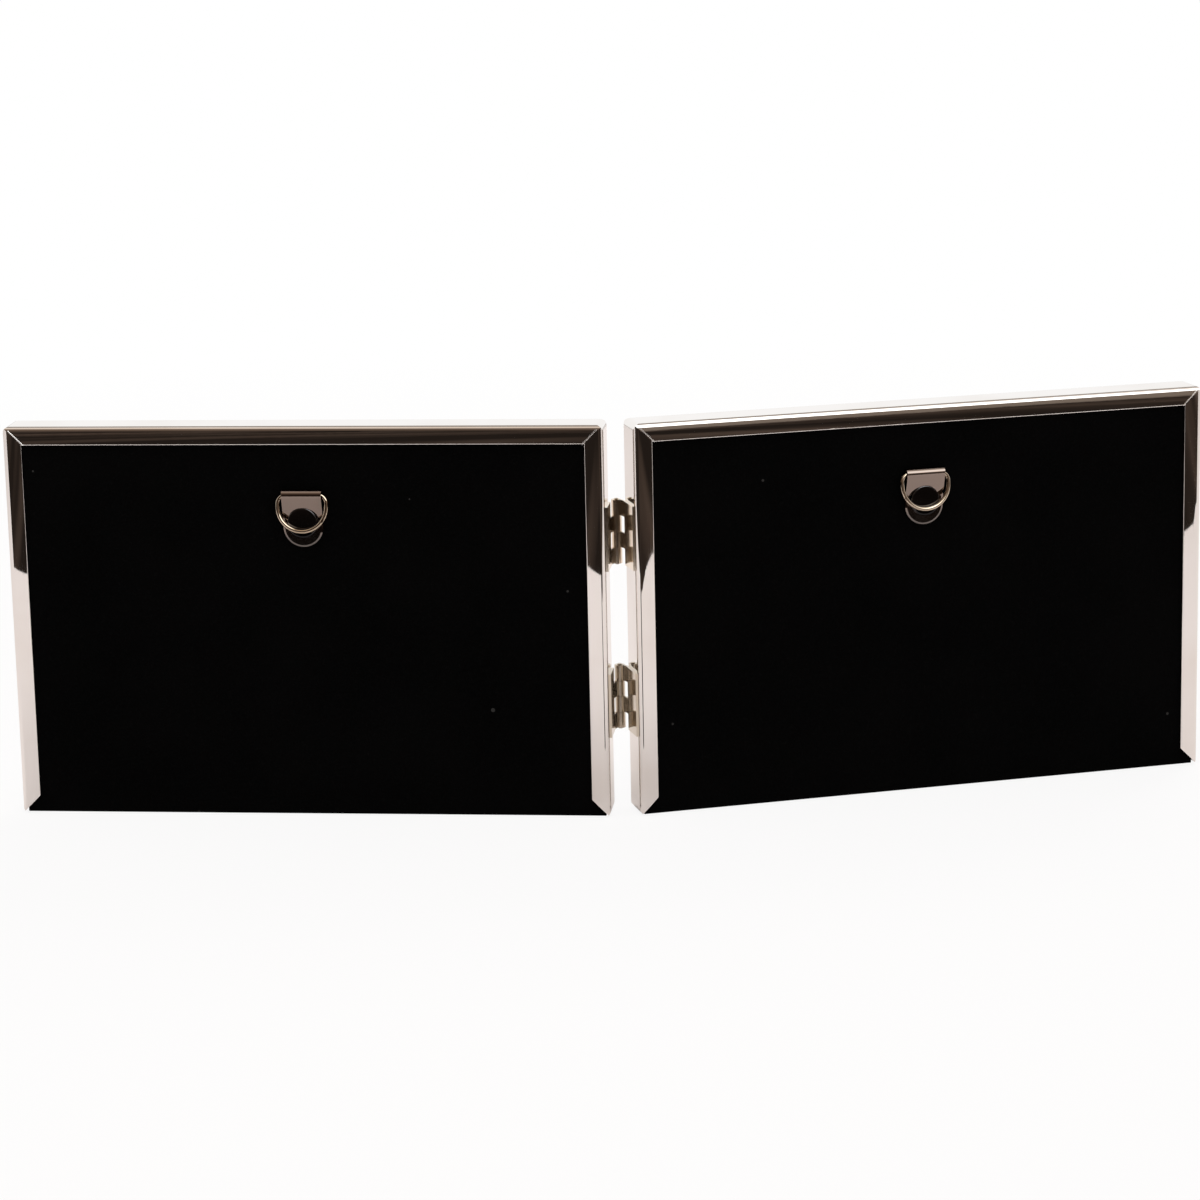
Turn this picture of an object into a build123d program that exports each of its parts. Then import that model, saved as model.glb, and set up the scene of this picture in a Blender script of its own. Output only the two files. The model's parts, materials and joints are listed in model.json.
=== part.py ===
from build123d import *

import os
from math import asin, atan2, cos, degrees, hypot, radians, sin

# A hinged double photo frame: two metal frames for landscape prints, joined along one short side by
# two small butt hinges. Each frame has four mitred rails of bent sheet. The foot rail has no back
# flange, so that a velvet-covered board, with its hanging ring, slides in from below behind the glass.
#
# Frame of the model, in millimetres: +Z up, the pictures face -Y, left and right as seen from there.
# The origin is on the standing surface, under the middle of the model's box. The frames stand in a
# shallow vee with the pictures on its inside.

# The print that each frame takes, and the room round it inside the rails
PRINT_WIDTH = 152.4
PRINT_HEIGHT = 101.6
PRINT_SIDE_ROOM = 3.0
PRINT_END_ROOM = 1.4

VEE_ANGLE = 21.0  # how far the two frames are folded in from flat, at rest

# Rails, bent from one thickness of sheet
SHEET = 0.8
BACK_FLANGE = 5.0
FLANGE_CROWN = 0.1  # how far the back flange swells between its edges
FRONT_BORDER = 8.0
BORDER_CROWN = 0.6
BACK_BEND = 0.5  # inside radius of the bend between side wall and back flange
FRONT_BEND = 0.6
SIGHT_BEND = 0.4
FLANGE_EDGE = 0.25  # rounding of the flange's cut edge
CORNER_ROUND = 2.0  # polished rounding of the four outer corners

# Thickness of what the rails hold, from the glass to the velvet, and the room round it
GLASS = 2.0
PRINT = 0.3
CARD = 1.6
BOARD = 4.0
VELVET = 0.5
SLIDE_GAP = 0.1  # running room on each face of the board
EDGE_GAP = 0.4  # room between the rails and what they hold, along its edges
FOOT_GAP = 0.2  # the velvet's lower edge above the standing surface
GLASS_ARRIS = 0.2

# Hanger on the back board: a folded strap, a cap rivet and a wire ring
STRAP_SHEET = 0.5
STRAP_WIDTH = 10.6
HANGER_BELOW_TOP = 16.8  # from the frame's top to the top of the strap's fold
LOOP_RADIUS = 1.0  # inside the fold
STRAP_BEVEL_RUN = 0.45  # bevelled rim round the front layer's flat lower end
STRAP_BEVEL_DROP = 0.16
LAYER_GAP = 0.05
RIVET_ABOVE_FOOT = 6.6
RIVET_CAP_RADIUS = 4.0
RIVET_CAP_HEIGHT = 1.1
RIVET_CAP_EDGE = 0.5
RIVET_CAP_SHOULDER = 0.7  # how far the bevel above the edge runs in
RIVET_POST_RADIUS = 1.4
RIVET_HOLE_GAP = 0.1
RIVET_BASE_RADIUS = 3.5
RIVET_BASE_THICKNESS = 0.6
CAP_BELOW_BAR = 3.4  # from the ring's bar down to the top of the cap
BEND_BELOW_CAP = 3.0  # from the top of the cap down to where the strap's two layers meet
DISH_GAP = 0.1  # round the cap, where the rivet presses the front layer flat
RING_WIRE = 1.2
RING_WIRE_SIDES = 10
RING_WIDTH = 14.2
RING_DROP = 9.65  # from the bar's middle to the middle of the wire at the lowest point
RING_CORNER = 2.2
RING_REST_GAP = 0.3  # between the hanging ring and the top of the rivet's cap

# Hinges
HINGE_LENGTH = 17.2
HINGE_SPACING = 45.0  # between the middles of the two hinges
KNUCKLES = 4
LEAF_SHEET = 0.7
LEAF_BACK_MARGIN = 0.6  # from the frame's back plane to the leaf's free edge
PIN_RADIUS = 0.6
PIN_RUNNING_GAP = 0.05
KNUCKLE_TO_WALL = 0.5
PIN_PROUD = 0.8  # how far the pin's middle stands in front of the frames' front planes
PIN_END = 0.3  # how far the pin stands out of the knuckles
KNUCKLE_GAP = 0.12
NOTCH_GAP = 2.3  # room round the other leaf's knuckles, behind them
JOGGLE_RUN = 3.0  # length of the offset bend between a leaf and its knuckles
CURL_ANGLE = 300.0  # how far a knuckle's sheet goes round the pin

# Depths from the front face, in the order of the stack
GLASS_SEAT = BORDER_CROWN + SHEET + FRONT_BEND
PRINT_FRONT = GLASS_SEAT + GLASS
CARD_FRONT = PRINT_FRONT + PRINT
CARD_BACK = CARD_FRONT + CARD
BOARD_FRONT = CARD_BACK + SLIDE_GAP
BOARD_BACK = BOARD_FRONT + BOARD
VELVET_BACK = BOARD_BACK + VELVET
FLANGE_INSIDE = VELVET_BACK + SLIDE_GAP
PANEL_DEPTH = FLANGE_INSIDE + SHEET + FLANGE_CROWN

# Sizes that follow from the print and the rails
INSIDE_WIDTH = PRINT_WIDTH + 2 * PRINT_SIDE_ROOM
INSIDE_HEIGHT = PRINT_HEIGHT + 2 * PRINT_END_ROOM
PANEL_WIDTH = INSIDE_WIDTH + 2 * SHEET
PANEL_HEIGHT = INSIDE_HEIGHT + 2 * SHEET
PANE_WIDTH = INSIDE_WIDTH - 2 * EDGE_GAP
PANE_HEIGHT = INSIDE_HEIGHT - EDGE_GAP
BOARD_WIDTH = INSIDE_WIDTH - 2 * (BACK_BEND + SLIDE_GAP)
BOARD_TOP = PANEL_HEIGHT - SHEET - EDGE_GAP

# Heights above the frame's foot, and depths, that follow from the hanger
FOLD_RADIUS = LOOP_RADIUS + STRAP_SHEET / 2
STRAP_STACK = 2 * STRAP_SHEET + LAYER_GAP
BAR_STANDOFF = STRAP_SHEET + LOOP_RADIUS
BAR_DEPTH = VELVET_BACK + BAR_STANDOFF
BAR_HEIGHT = PANEL_HEIGHT - HANGER_BELOW_TOP - BAR_STANDOFF
BAR_ABOVE_BEND = CAP_BELOW_BAR + BEND_BELOW_CAP
LAYER_BEND_HEIGHT = BAR_HEIGHT - BAR_ABOVE_BEND
RIVET_HEIGHT = BAR_HEIGHT - CAP_BELOW_BAR - RIVET_CAP_RADIUS
STRAP_FOOT = RIVET_HEIGHT - RIVET_ABOVE_FOOT
STRAP_LENGTH = PANEL_HEIGHT - HANGER_BELOW_TOP - STRAP_FOOT
RIVET_HOLE = RIVET_POST_RADIUS + RIVET_HOLE_GAP
RIVET_BASE_FRONT = BOARD_FRONT + RIVET_HOLE_GAP
CAP_SEAT = VELVET_BACK + STRAP_STACK
DISH_RADIUS = RIVET_CAP_RADIUS + DISH_GAP
RING_LIFT = STRAP_STACK + RIVET_CAP_HEIGHT + RING_REST_GAP + RING_WIRE / 2 - BAR_STANDOFF
RING_TILT = degrees(asin(RING_LIFT / RING_DROP))  # the hanging ring leans out over the rivet's cap

# Places that follow from the hinges
KNUCKLE_PITCH = HINGE_LENGTH / KNUCKLES
CURL_RADIUS = PIN_RADIUS + PIN_RUNNING_GAP + LEAF_SHEET / 2
KNUCKLE_RADIUS = CURL_RADIUS + LEAF_SHEET / 2
PIN_TO_WALL = KNUCKLE_RADIUS + KNUCKLE_TO_WALL
NOTCH_BACK = KNUCKLE_RADIUS + NOTCH_GAP
LEAF_MIDDLE = PIN_TO_WALL - LEAF_SHEET / 2
LEAF_BACK = PIN_PROUD + PANEL_DEPTH - LEAF_BACK_MARGIN
HALF_VEE = VEE_ANGLE / 2
HINGE_FEET = {
    "upper": (PANEL_HEIGHT + HINGE_SPACING - HINGE_LENGTH) / 2,
    "lower": (PANEL_HEIGHT - HINGE_SPACING - HINGE_LENGTH) / 2,
}

# In a frame's own coordinates X runs across from its middle, Y from its front face to its back and Z
# up from its foot. The four rails run round it, each on a plane of its own: X inward from the outer
# wall, Y to the back, Z along the rail.
LEFT_RUN = Plane((-PANEL_WIDTH / 2, 0, 0), x_dir=(1, 0, 0), z_dir=(0, 0, 1))
TOP_RUN = Plane((-PANEL_WIDTH / 2, 0, PANEL_HEIGHT), x_dir=(0, 0, -1), z_dir=(1, 0, 0))
RIGHT_RUN = Plane((PANEL_WIDTH / 2, 0, PANEL_HEIGHT), x_dir=(-1, 0, 0), z_dir=(0, 0, -1))
FOOT_RUN = Plane((PANEL_WIDTH / 2, 0, 0), x_dir=(0, 0, 1), z_dir=(-1, 0, 0))


def at_depth(depth):
    """A plane across the frame at this depth, with X across, Y up and its normal to the back."""
    return Plane((0, depth, 0), x_dir=(-1, 0, 0), z_dir=(0, 1, 0))


def border_outline(wall_end):
    """The front border, its turned-back sight lip and both faces of the side wall."""
    inside = BORDER_CROWN + SHEET
    lip = FRONT_BORDER - SHEET
    Line((0, wall_end), (0, BORDER_CROWN))
    ThreePointArc((0, BORDER_CROWN), (FRONT_BORDER / 2, 0), (FRONT_BORDER, BORDER_CROWN))
    Polyline((FRONT_BORDER, BORDER_CROWN), (FRONT_BORDER, GLASS_SEAT), (lip, GLASS_SEAT), (lip, inside))
    ThreePointArc((lip, inside), (FRONT_BORDER / 2, SHEET), (SHEET, inside))
    Line((SHEET, inside), (SHEET, min(wall_end, FLANGE_INSIDE)))


def flange_outline():
    """The back flange with its crown, from the inside of the wall round to the outside."""
    outside = PANEL_DEPTH - FLANGE_CROWN
    crest = ((SHEET + BACK_FLANGE) / 2, FLANGE_INSIDE + FLANGE_CROWN)
    ThreePointArc((SHEET, FLANGE_INSIDE), crest, (BACK_FLANGE, FLANGE_INSIDE))
    Line((BACK_FLANGE, FLANGE_INSIDE), (BACK_FLANGE, outside))
    ThreePointArc((BACK_FLANGE, outside), (BACK_FLANGE / 2, PANEL_DEPTH), (0, outside))


def round_corner(section, across, depth, radius):
    """Rounds the section's corner nearest to a point."""
    fillet(section.vertices().sort_by_distance((across, depth))[0], radius)


def mitred_rail(run, length, flanged):
    """One rail: its bent section drawn out along the run, mitred at both ends, with polished corners."""
    with BuildPart() as rail:
        with BuildSketch(run) as section:
            with BuildLine():
                if flanged:
                    border_outline(PANEL_DEPTH - FLANGE_CROWN)
                    flange_outline()
                else:
                    border_outline(CARD_BACK)
                    Line((SHEET, CARD_BACK), (0, CARD_BACK))
            make_face()
            round_corner(section, 0, BORDER_CROWN, FRONT_BEND + SHEET)
            round_corner(section, SHEET, BORDER_CROWN + SHEET, FRONT_BEND)
            round_corner(section, FRONT_BORDER, BORDER_CROWN, SIGHT_BEND + SHEET)
            round_corner(section, FRONT_BORDER - SHEET, BORDER_CROWN + SHEET, SIGHT_BEND)
            if flanged:
                round_corner(section, 0, PANEL_DEPTH - FLANGE_CROWN, BACK_BEND + SHEET)
                round_corner(section, SHEET, FLANGE_INSIDE, BACK_BEND)
                round_corner(section, BACK_FLANGE, PANEL_DEPTH - FLANGE_CROWN, FLANGE_EDGE)
        extrude(amount=length)
        near_end = run.origin
        far_end = run.origin + run.z_dir * length
        split(bisect_by=Plane(near_end, x_dir=run.y_dir, z_dir=run.z_dir - run.x_dir))
        split(bisect_by=Plane(far_end, x_dir=run.y_dir, z_dir=-run.z_dir - run.x_dir))
        with BuildSketch(at_depth(0)):
            with Locations((0, PANEL_HEIGHT / 2)):
                RectangleRounded(PANEL_WIDTH, PANEL_HEIGHT, CORNER_ROUND)
        extrude(amount=PANEL_DEPTH, mode=Mode.INTERSECT)
    return rail


top_rail = mitred_rail(TOP_RUN, PANEL_WIDTH, flanged=True)
foot_rail = mitred_rail(FOOT_RUN, PANEL_WIDTH, flanged=False)
left_end_rail = mitred_rail(LEFT_RUN, PANEL_HEIGHT, flanged=True)
right_end_rail = mitred_rail(RIGHT_RUN, PANEL_HEIGHT, flanged=True)

with BuildPart() as glass:
    with BuildSketch(at_depth(GLASS_SEAT)):
        with Locations((0, SHEET)):
            Rectangle(PANE_WIDTH, PANE_HEIGHT, align=(Align.CENTER, Align.MIN))
    extrude(amount=GLASS)
    chamfer(glass.faces().sort_by(Axis.Y)[0].edges(), GLASS_ARRIS)

with BuildPart() as photo_print:
    with BuildSketch(at_depth(PRINT_FRONT)):
        with Locations((0, SHEET)):
            Rectangle(PRINT_WIDTH, PRINT_HEIGHT, align=(Align.CENTER, Align.MIN))
    extrude(amount=PRINT)

with BuildPart() as backing_card:
    with BuildSketch(at_depth(CARD_FRONT)):
        with Locations((0, SHEET)):
            Rectangle(PANE_WIDTH, PANE_HEIGHT, align=(Align.CENTER, Align.MIN))
    extrude(amount=CARD)

with BuildPart() as back_board:
    with BuildSketch(at_depth(BOARD_FRONT)):
        with Locations((0, FOOT_GAP + VELVET)):
            Rectangle(BOARD_WIDTH, BOARD_TOP - FOOT_GAP - VELVET, align=(Align.CENTER, Align.MIN))
    extrude(amount=BOARD)
    # The rivet's base sinks into the inner face
    sink_radius = RIVET_BASE_RADIUS + RIVET_HOLE_GAP
    sink_depth = RIVET_BASE_THICKNESS + RIVET_HOLE_GAP
    with Locations(Plane((0, BOARD_FRONT, RIVET_HEIGHT), z_dir=(0, -1, 0))):
        CounterBoreHole(RIVET_HOLE, sink_radius, sink_depth)

with BuildPart() as velvet_cover:
    # Glued over the back face and turned under the lower edge
    with BuildSketch(Plane.YZ) as wrap:
        with BuildLine():
            Polyline(
                (BOARD_FRONT, FOOT_GAP),
                (VELVET_BACK, FOOT_GAP),
                (VELVET_BACK, BOARD_TOP),
                (BOARD_BACK, BOARD_TOP),
                (BOARD_BACK, FOOT_GAP + VELVET),
                (BOARD_FRONT, FOOT_GAP + VELVET),
                close=True,
            )
        make_face()
        round_corner(wrap, VELVET_BACK, FOOT_GAP, VELVET)
    extrude(amount=BOARD_WIDTH / 2, both=True)
    with Locations(Plane((0, VELVET_BACK, RIVET_HEIGHT), z_dir=(0, 1, 0))):
        Hole(RIVET_HOLE, VELVET)

# The hanger's strap in section, seen along the ring's bar: X out from the velvet, Y up
STRAP_SECTION = Plane((0, VELVET_BACK, 0), x_dir=(0, 1, 0), z_dir=(1, 0, 0))
back_layer = STRAP_SHEET / 2
front_layer = STRAP_STACK - STRAP_SHEET / 2
fold_middle = (back_layer + FOLD_RADIUS, BAR_HEIGHT)
layer_bend = (front_layer, LAYER_BEND_HEIGHT)
# The slope from the fold to the bend leaves the fold's arc along its tangent
fold_offset = fold_middle[0] - front_layer
fold_reach = hypot(fold_offset, BAR_ABOVE_BEND)
slope_lean = atan2(fold_offset, BAR_ABOVE_BEND) + asin(FOLD_RADIUS / fold_reach)
slope_top = (
    fold_middle[0] + FOLD_RADIUS * cos(slope_lean),
    fold_middle[1] - FOLD_RADIUS * sin(slope_lean),
)

with BuildPart() as cap_dish:
    # Where the rivet presses the sloping front layer flat: a round wall under the slope
    with BuildSketch(STRAP_SECTION):
        with BuildLine():
            Polyline(
                (front_layer - STRAP_SHEET / 2, STRAP_FOOT),
                (front_layer, STRAP_FOOT),
                layer_bend,
                slope_top,
                (front_layer - STRAP_SHEET / 2, slope_top[1]),
                close=True,
            )
        make_face()
    extrude(amount=STRAP_WIDTH / 2, both=True)
    with BuildSketch(Plane((0, VELVET_BACK, RIVET_HEIGHT), z_dir=(0, 1, 0))):
        Circle(min(DISH_RADIUS + STRAP_SHEET, STRAP_WIDTH / 2))
    extrude(amount=2 * (FOLD_RADIUS + STRAP_SHEET), mode=Mode.INTERSECT)

with BuildPart() as hanger_strap:
    # The strip goes up the velvet, round the ring's bar and down again over itself
    with BuildSketch(STRAP_SECTION):
        with BuildLine():
            Line((back_layer, STRAP_FOOT), (back_layer, BAR_HEIGHT))
            CenterArc(fold_middle, FOLD_RADIUS, 180, -180 - degrees(slope_lean))
            Polyline(slope_top, layer_bend, (front_layer, STRAP_FOOT))
        trace(line_width=STRAP_SHEET)
    extrude(amount=STRAP_WIDTH / 2, both=True)
    add(cap_dish.part)
    with BuildSketch(at_depth(VELVET_BACK)):
        with Locations((0, STRAP_FOOT + STRAP_WIDTH / 2)):
            Circle(STRAP_WIDTH / 2)
            Rectangle(STRAP_WIDTH, STRAP_LENGTH, align=(Align.CENTER, Align.MIN))
    extrude(amount=2 * (FOLD_RADIUS + STRAP_SHEET), mode=Mode.INTERSECT)
    tongue = hanger_strap.faces().filter_by(Axis.Y).sort_by(Axis.Y)[-1]
    chamfer(tongue.edges().filter_by(GeomType.CIRCLE), STRAP_BEVEL_RUN, STRAP_BEVEL_DROP, reference=tongue)
    with BuildSketch(Plane((0, CAP_SEAT, RIVET_HEIGHT), z_dir=(0, 1, 0))):
        Circle(DISH_RADIUS)
    extrude(amount=2 * (FOLD_RADIUS + STRAP_SHEET), mode=Mode.SUBTRACT)
    with Locations(Plane((0, CAP_SEAT, RIVET_HEIGHT), z_dir=(0, 1, 0))):
        Hole(RIVET_HOLE, STRAP_STACK)

with BuildPart() as rivet_cap:
    # Flat on top, with a bevelled shoulder over a short straight edge
    with BuildSketch(Plane((0, CAP_SEAT, RIVET_HEIGHT))):
        with BuildLine():
            Polyline(
                (0, 0),
                (RIVET_CAP_RADIUS, 0),
                (RIVET_CAP_RADIUS, RIVET_CAP_EDGE),
                (RIVET_CAP_RADIUS - RIVET_CAP_SHOULDER, RIVET_CAP_HEIGHT),
                (0, RIVET_CAP_HEIGHT),
                close=True,
            )
        make_face()
    revolve(axis=Axis((0, 0, RIVET_HEIGHT), (0, 1, 0)))

with BuildPart() as rivet_base:
    # Flat head let into the board, with the post that goes out through velvet and strap to the cap
    base_plane = Plane((0, RIVET_BASE_FRONT, RIVET_HEIGHT), z_dir=(0, 1, 0))
    with BuildSketch(base_plane):
        Circle(RIVET_BASE_RADIUS)
    extrude(amount=RIVET_BASE_THICKNESS)
    with BuildSketch(base_plane):
        Circle(RIVET_POST_RADIUS)
    extrude(amount=CAP_SEAT - RIVET_BASE_FRONT)

with BuildPart() as hanging_ring:
    # A wire ring with one flat side, the bar that lies in the strap's fold
    lean_out = radians(RING_TILT)
    bar_middle = (0, BAR_DEPTH, BAR_HEIGHT)
    ring_plane = Plane(bar_middle, x_dir=(1, 0, 0), z_dir=(0, cos(lean_out), sin(lean_out)))
    half = (RING_WIDTH - RING_WIRE) / 2
    flat = half - RING_CORNER
    shoulder = RING_DROP - half
    with BuildLine(ring_plane) as ring_path:
        Line((0, 0), (flat, 0))
        CenterArc((flat, RING_CORNER), RING_CORNER, -90, 90)
        Line((half, RING_CORNER), (half, shoulder))
        CenterArc((0, shoulder), half, 0, 180)
        Line((-half, shoulder), (-half, RING_CORNER))
        CenterArc((-flat, RING_CORNER), RING_CORNER, 180, 90)
        Line((-flat, 0), (0, 0))
    with BuildSketch(Plane(bar_middle, z_dir=(1, 0, 0))):
        RegularPolygon(RING_WIRE / 2, RING_WIRE_SIDES)
    sweep(path=ring_path.wire())


def hinge_leaf(side, foot, first_row):
    """One leaf on a frame's side wall, curled round the pin in every other row from the top."""
    turn = radians(HALF_VEE)
    leaf_plane = Plane((0, 0, foot), x_dir=(side * cos(turn), -sin(turn), 0), z_dir=(0, 0, side))
    notch_depth = NOTCH_BACK + 2 * PIN_TO_WALL
    with BuildPart() as leaf:
        with BuildSketch(leaf_plane):
            with BuildLine():
                joggle_middle = ((LEAF_MIDDLE + CURL_RADIUS) / 2, JOGGLE_RUN / 2)
                Line((LEAF_MIDDLE, LEAF_BACK), (LEAF_MIDDLE, JOGGLE_RUN))
                TangentArc((LEAF_MIDDLE, JOGGLE_RUN), joggle_middle, tangent=(0, -1))
                TangentArc((CURL_RADIUS, 0), joggle_middle, tangent=(0, 1))
                CenterArc((0, 0), CURL_RADIUS, 0, -CURL_ANGLE)
            trace(line_width=LEAF_SHEET)
        extrude(amount=side * HINGE_LENGTH)
        for row in range(KNUCKLES):
            if row % 2 == first_row:
                continue
            row_foot = HINGE_LENGTH - (row + 1) * KNUCKLE_PITCH - KNUCKLE_GAP / 2
            with BuildSketch(leaf_plane.offset(side * row_foot)):
                with Locations((0, NOTCH_BACK)):
                    Rectangle(2 * PIN_TO_WALL, notch_depth, align=(Align.CENTER, Align.MAX))
            extrude(amount=side * (KNUCKLE_PITCH + KNUCKLE_GAP), mode=Mode.SUBTRACT)
    return leaf


def hinge_pin(foot):
    """A plain pin that stands a little out of the knuckles."""
    with BuildPart() as pin:
        with BuildSketch(Plane.XY.offset(foot - PIN_END)):
            Circle(PIN_RADIUS)
        extrude(amount=HINGE_LENGTH + 2 * PIN_END)
    return pin


# Everything that both frames have, in a frame's own coordinates
PANEL_PIECES = {
    "top_rail": top_rail,
    "foot_rail": foot_rail,
    "glass": glass,
    "photo_print": photo_print,
    "backing_card": backing_card,
    "back_board": back_board,
    "velvet_cover": velvet_cover,
    "hanger_strap": hanger_strap,
    "rivet_cap": rivet_cap,
    "rivet_base": rivet_base,
    "hanging_ring": hanging_ring,
}
SIDES = {"left": -1, "right": 1}
FIRST_ROW = {"left": 0, "right": 1}
END_RAILS = {
    "left": {"hinge_rail": right_end_rail, "outer_rail": left_end_rail},
    "right": {"hinge_rail": left_end_rail, "outer_rail": right_end_rail},
}

# Set up round the pins' axis, each frame turned in by half the vee
pieces = {}
for name, side in SIDES.items():
    stand = Location((0, 0, 0), (0, 0, -side * HALF_VEE))
    stand = stand * Location((side * (PIN_TO_WALL + PANEL_WIDTH / 2), PIN_PROUD, 0))
    for piece, build in {**PANEL_PIECES, **END_RAILS[name]}.items():
        pieces[f"{name}_{piece}"] = build.part.moved(stand)
    for level, foot in HINGE_FEET.items():
        pieces[f"{level}_hinge_{name}_leaf"] = hinge_leaf(side, foot, FIRST_ROW[name]).part
for level, foot in HINGE_FEET.items():
    pieces[f"{level}_hinge_pin"] = hinge_pin(foot).part

# Moved along Y so that the origin lies under the middle of the whole model's box
lowest_y = min(piece.bounding_box().min.Y for piece in pieces.values())
highest_y = max(piece.bounding_box().max.Y for piece in pieces.values())
PIN_Y = -(lowest_y + highest_y) / 2

os.makedirs("parts", exist_ok=True)
for name, piece in pieces.items():
    placed = piece.moved(Location((0, PIN_Y, 0)))
    placed.label = name
    export_step(placed, f"parts/{name}.step")
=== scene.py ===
import json
import math

import bmesh
import bpy
from mathutils import Matrix, Vector


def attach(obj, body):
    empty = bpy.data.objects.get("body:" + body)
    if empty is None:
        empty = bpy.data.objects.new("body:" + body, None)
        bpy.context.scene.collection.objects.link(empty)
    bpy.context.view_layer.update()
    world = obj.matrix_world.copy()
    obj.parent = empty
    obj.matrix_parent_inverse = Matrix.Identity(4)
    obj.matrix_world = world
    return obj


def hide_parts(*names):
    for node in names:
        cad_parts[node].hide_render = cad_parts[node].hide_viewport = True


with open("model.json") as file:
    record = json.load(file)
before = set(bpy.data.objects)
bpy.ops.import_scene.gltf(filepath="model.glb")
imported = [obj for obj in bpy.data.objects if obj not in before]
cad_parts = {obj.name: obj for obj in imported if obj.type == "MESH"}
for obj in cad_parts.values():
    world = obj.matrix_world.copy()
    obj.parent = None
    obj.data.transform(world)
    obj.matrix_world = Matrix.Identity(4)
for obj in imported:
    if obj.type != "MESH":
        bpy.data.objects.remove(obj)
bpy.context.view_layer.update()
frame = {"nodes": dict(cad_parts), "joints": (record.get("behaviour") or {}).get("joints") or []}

# Looks of a hinged double photo frame, in metres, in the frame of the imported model: +Z up, the pictures
# face -Y, the velvet backs face +Y, left and right as seen from the picture side.

MM = 0.001
SIDES = {"left": -1, "right": 1}
LEVELS = ("upper", "lower")

# Rails, where the seams of the mitres lie on their back flanges
FLANGE = 5.0 * MM
FLANGE_CROWN = 0.1 * MM
SEAM_START = 1.0 * MM
SEAM_WIDTH = 0.32 * MM
SEAM_HEIGHT = 0.1 * MM
SEAM_STEPS = 16
SEAM_SIDES = 8

# Rivet cap, with a rolled shoulder and a slight crown
CAP_SHOULDER = 0.17 * MM
CAP_CROWN = 0.02 * MM
CAP_SIDES = 64
CAP_STEPS = 10

# Hanging ring
RING_WIRE = 1.2 * MM
RING_CORNER = 2.2 * MM
WIRE_SIDES = 20
ARC_STEPS = 18

# Glass, and the print a hair behind it
GLASS_IOR = 1.5
PRINT_GAP = 0.05 * MM

# Velvet sheet
VELVET_ACROSS = 96
VELVET_UP = 64
VELVET_BEND_STEPS = 6
VELVET_WAVE = 0.04 * MM
VELVET_WAVES = (310.0, 170.0)  # across and up, radians per metre
VELVET_TONES = ((0.0005, 0.0005, 0.0005), (0.0011, 0.0010, 0.0010))
VELVET_BACKING = 0.9  # share of the thickness that the sheet fills
PILE_TONE = (0.0036, 0.0034, 0.0034)
LINT_TONE = (0.03, 0.029, 0.028)

# Camera at the photograph's place, from the foot of the hinge pins' axis
CAMERA_FROM_PINS = Vector((76.7, 962.55, 273.17)) * MM
CAMERA_YAW = math.radians(-4.269)
CAMERA_PITCH = math.radians(12.628)
CAMERA_ROLL = math.radians(-1.238)
CAMERA_LENS = 111.56
SENSOR_WIDTH = 36.0

# Studio: how far the pale table reaches towards the camera, and the dark room beyond, as the metal sees them
FLOOR_REACH = 6.0
SHADOW_REACH = (0.35, 0.8)  # the table's shadows fade to white between these distances
TABLE_EDGE = 0.318
TABLE_EDGE_BEND = 0.45
TABLE_NOTCH = 0.05
TABLE_NOTCH_PLACE = -0.085
TABLE_NOTCH_WIDTH = 0.045
HINGE_STRIP = 0.23  # a dark strip of table that only the hinges see
HINGE_STRIP_WIDTH = 0.026
ROOM_HALF_WIDTH = 1.9
DARK_FLOOR_SLOPE = 0.72  # the dark floor spreads out from the object within these sides
ROOM_REACH = 2.4
ROOM_STEPS = 360
ROOM_TURN = math.radians(80)  # the room's shell, to each side of the camera
ROOM_RISE = math.radians(130)
ROOM_DARK = (0.017, 0.0125, 0.01)
ROOM_STREAK = (0.08, 0.056, 0.043)
WINDOW_FLOOR = (0.94, 1.04)  # how far out the floor on the window's side is lighter
WINDOW_FLOOR_TONE = (0.2, 0.16, 0.13)
WINDOW_LIGHT = (3.0, 3.1, 3.1)
CEILING_TONE = (0.3, 0.255, 0.22)
# Tones of the room's shell from its foot to overhead: share of a right angle, colour
WARM_SIDE = (
    (0.0, ROOM_DARK),
    (0.06, ROOM_DARK),
    (0.16, (0.1, 0.07, 0.052)),
    (0.5, (0.17, 0.12, 0.09)),
    (0.62, (0.8, 0.68, 0.58)),
    (0.84, (0.8, 0.68, 0.58)),
    (0.9, CEILING_TONE),
)
WINDOW_SIDE = (
    (0.0, (0.12, 0.09, 0.07)),
    (0.22, (0.3, 0.24, 0.2)),
    (0.3, WINDOW_LIGHT),
    (0.8, WINDOW_LIGHT),
    (0.88, CEILING_TONE),
)
SIDE_CHANGE = (math.radians(4), math.radians(-8))  # from the warm side to the window's
WINDOW_END = (math.radians(-60), math.radians(-48))  # and from the window's to warm again
FAR_BAND = (-2.4, -0.8)  # a greyer stretch of table before the pictures
FAR_TONES = ((0.72, 0.68, 0.66), (0.84, 0.8, 0.78))
TABLE_TONE = (0.81, 0.755, 0.74)
TABLE_WHITE = (0.88, 1.0)  # how white the camera sees the table, near the object and far off
CARD_LIFT = 0.4 * MM  # the unseen floors lie this far above the table
WORLD_TONE = (1.0, 0.99, 0.975)
WORLD_STRENGTH = 0.55
# Soft lamps: place, aim, size, power
LAMPS = {
    "overhead_lamp": ((0.25, 0.35, 1.3), (0.0, 0.0, 0.03), 0.9, 9.0),
    "front_lamp": ((-0.6, -0.9, 0.9), (0.0, 0.0, 0.05), 0.7, 6.0),
}


def joint_named(name):
    """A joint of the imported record."""
    return next(joint for joint in frame["joints"] if joint["name"] == name)


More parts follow.
